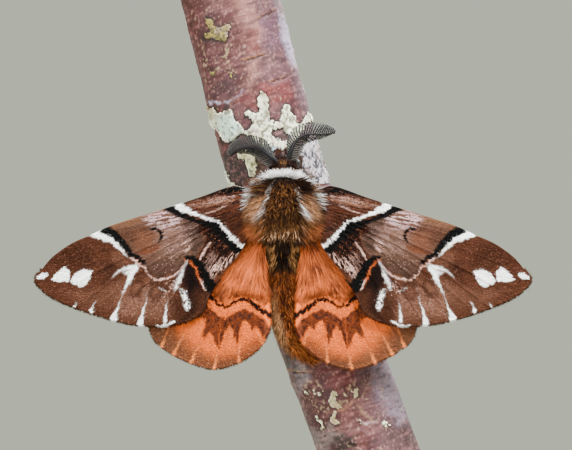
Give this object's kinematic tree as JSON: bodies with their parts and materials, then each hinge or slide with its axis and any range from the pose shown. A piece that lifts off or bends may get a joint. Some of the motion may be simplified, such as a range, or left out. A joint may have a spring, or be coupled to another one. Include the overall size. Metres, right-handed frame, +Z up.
{
  "type": "kentish glory moth on a branch, display model",
  "caption": "Still life-size model of a male moth with spread wings, feathery antennae and furry body, clinging head up to a cut birch branch on a rod and round base.",
  "frame": {"origin": "centre of the base's underside", "axes": "+Z up from the base to the branch's top, -Y towards the viewer and out of the moth's back, +X towards the moth's right wings as seen in the picture"},
  "size_m": [0.0604, 0.048, 0.0746],
  "materials": {
    "stand_wood": "dark oiled walnut",
    "stand_brass": "brushed",
    "bark": "smooth red-brown birch bark with a grey bloom",
    "thorax_fur": "dense brown fur",
    "collar_fur": "dense white fur",
    "abdomen_fur": "long orange-brown fur",
    "eye": "glossy black facets",
    "antenna": "matt horn",
    "forewing": "scaled, brown with white and black bands",
    "hindwing": "scaled and haired, orange with dark bands",
    "leg_fur": "short brown fur"
  },
  "bodies": {
    "root": {"stand_base": "stand_wood", "stand_rod": "stand_brass", "perch_branch": "bark", "thorax": "thorax_fur", "collar": "collar_fur", "head": "thorax_fur", "abdomen": "abdomen_fur", "eye_left": "eye", "eye_right": "eye", "palp_left": "leg_fur", "palp_right": "leg_fur", "antenna_left": "antenna", "antenna_right": "antenna", "forewing_left": "forewing", "forewing_right": "forewing", "hindwing_left": "hindwing", "hindwing_right": "hindwing", "leg_front_left": "leg_fur", "leg_front_right": "leg_fur", "leg_mid_left": "leg_fur", "leg_mid_right": "leg_fur", "leg_hind_left": "leg_fur", "leg_hind_right": "leg_fur"}
  },
  "joints": []
}
